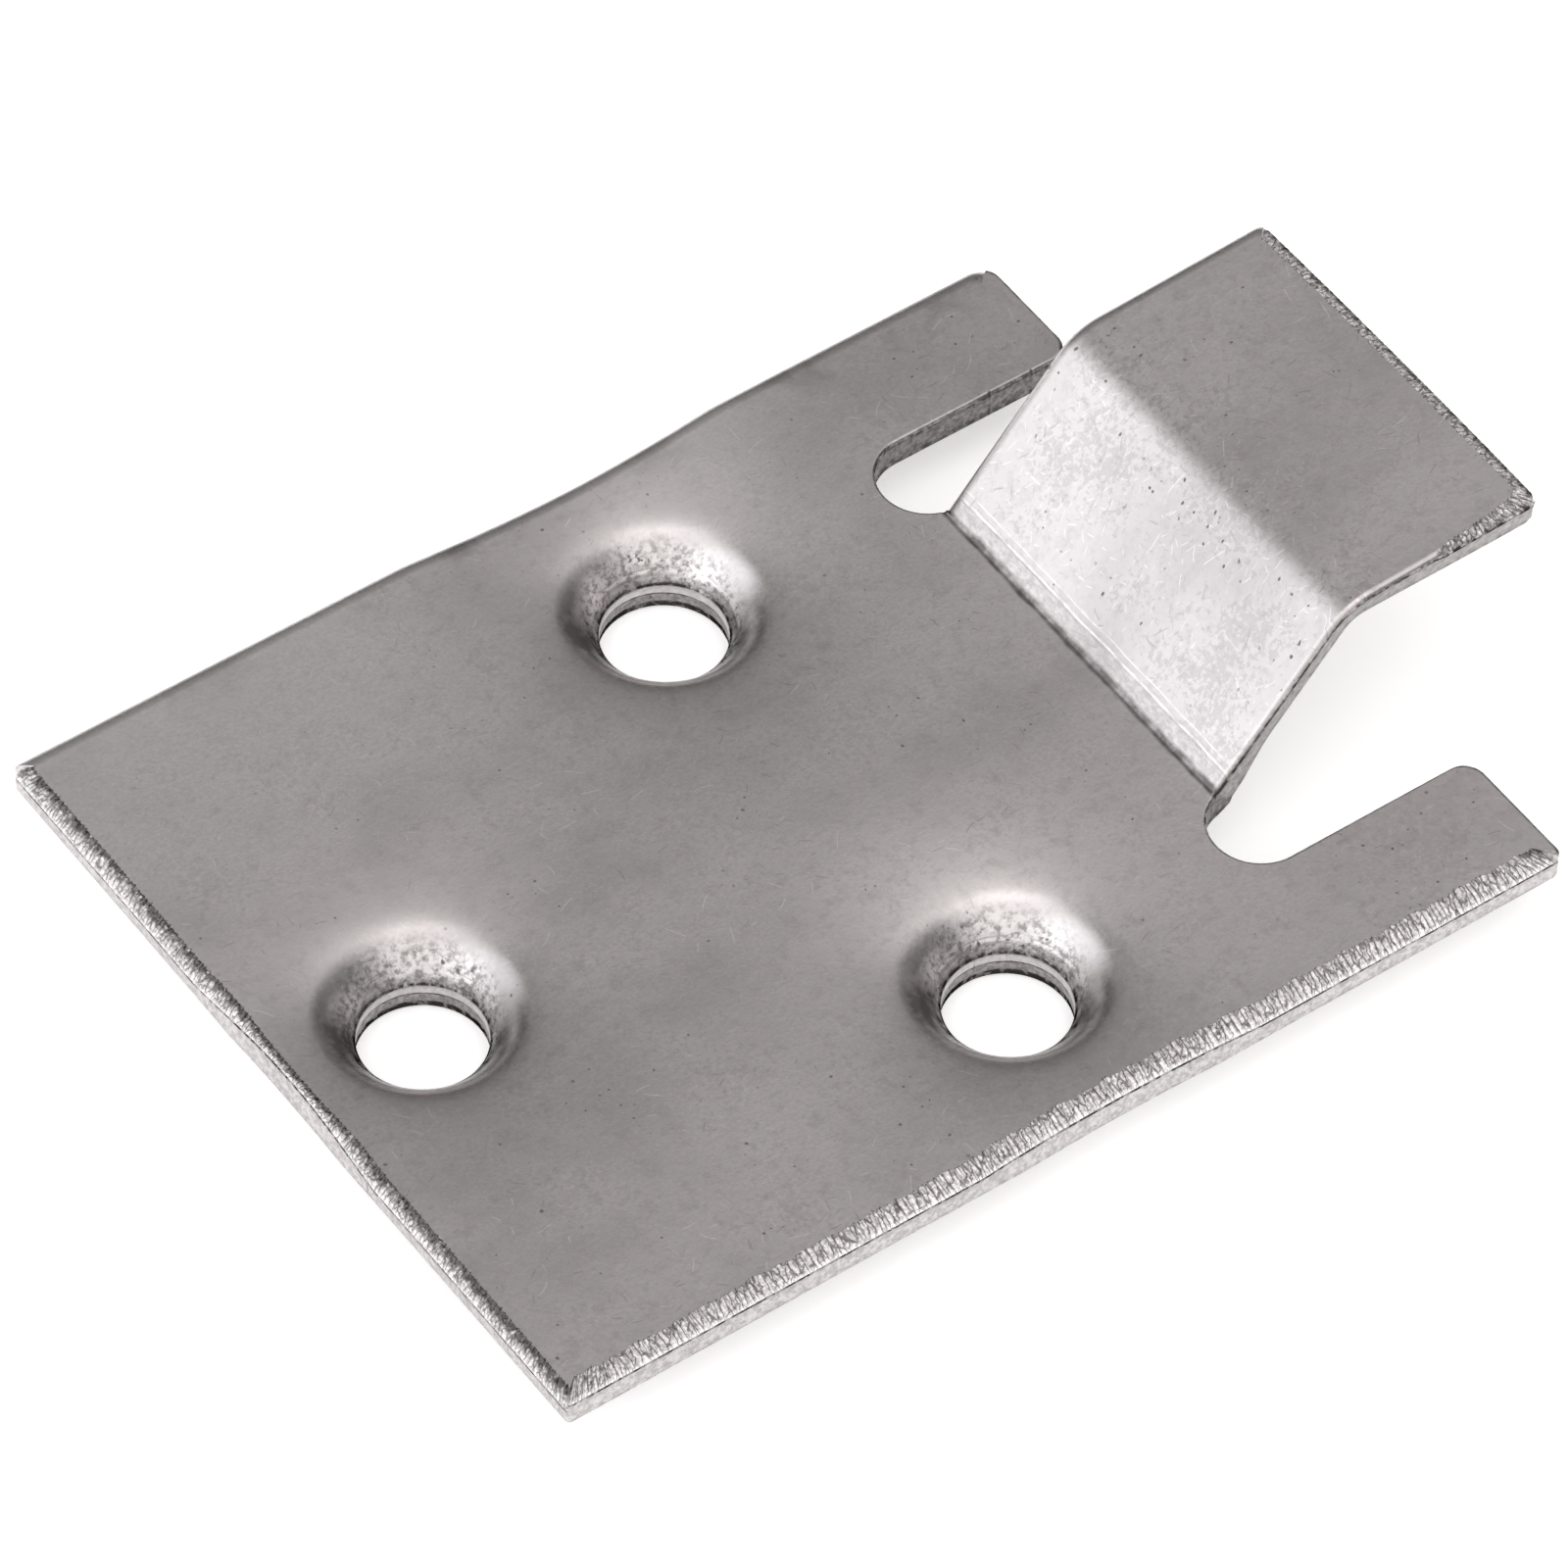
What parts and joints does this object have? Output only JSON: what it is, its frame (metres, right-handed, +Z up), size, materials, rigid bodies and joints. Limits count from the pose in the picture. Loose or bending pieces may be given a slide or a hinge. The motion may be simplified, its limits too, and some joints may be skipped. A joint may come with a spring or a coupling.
{
  "type": "stamped hook plate bracket",
  "caption": "Stamped sheet steel bracket: a flat plate with dimpled screw holes and a tab bent up and then level, to hook over an edge or a rail.",
  "frame": {"origin": "middle of the bounding box in X and Y, on the plane that the three dimples stand on", "axes": "+X from the back edge to the tip of the tab, +Y across the plate to its left side, +Z up, from the dimples' feet to the plate's top face"},
  "size_m": [0.0566, 0.0404, 0.0118],
  "materials": {
    "steel": "bare rolled sheet steel, satin, with light handling marks and ground edges"
  },
  "bodies": {
    "root": {"bracket": "steel"}
  },
  "joints": []
}
